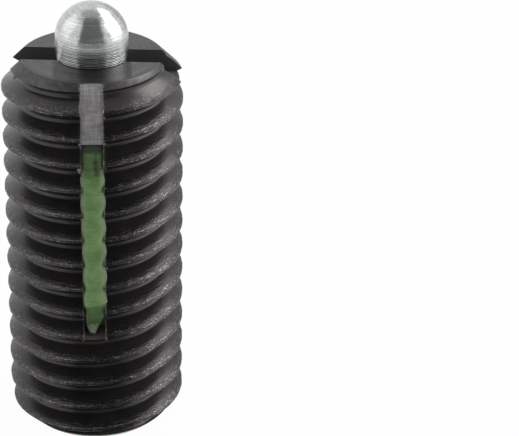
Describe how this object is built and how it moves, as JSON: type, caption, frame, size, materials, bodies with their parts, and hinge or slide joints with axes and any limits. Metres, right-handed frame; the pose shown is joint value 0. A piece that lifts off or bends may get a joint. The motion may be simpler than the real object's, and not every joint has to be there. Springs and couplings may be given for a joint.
{
  "type": "spring plunger",
  "caption": "Fully threaded steel sleeve with a spring-loaded round-nosed thrust pin, a driver slot in its front face, a hex socket in its back end and a nylon thread-locking strip.",
  "frame": {"origin": "centre of the sleeve's flat back end", "axes": "+Z along the sleeve towards the pin's nose; the driver slot runs along X; the locking strip is on the -Y side"},
  "size_m": [0.0098, 0.0098, 0.025],
  "materials": {
    "black_steel": "black oxide, satin",
    "bright_steel": "turned bright",
    "spring_wire": "drawn wire",
    "green_nylon": "semi-matte polyamide"
  },
  "bodies": {
    "housing": {"threaded_sleeve": "black_steel", "closing_screw": "black_steel", "locking_strip": "green_nylon", "compression_spring": "spring_wire"},
    "pin": {"thrust_pin": "bright_steel"}
  },
  "joints": [
    {"name": "pin_slide", "type": "slide", "parent": "housing", "child": "pin", "axis": [0, 0, 1], "range_m": [-0.003, 0], "stiffness_N_per_m": 6400, "springref_m": 0.0016, "deforming": ["compression_spring"]}
  ]
}
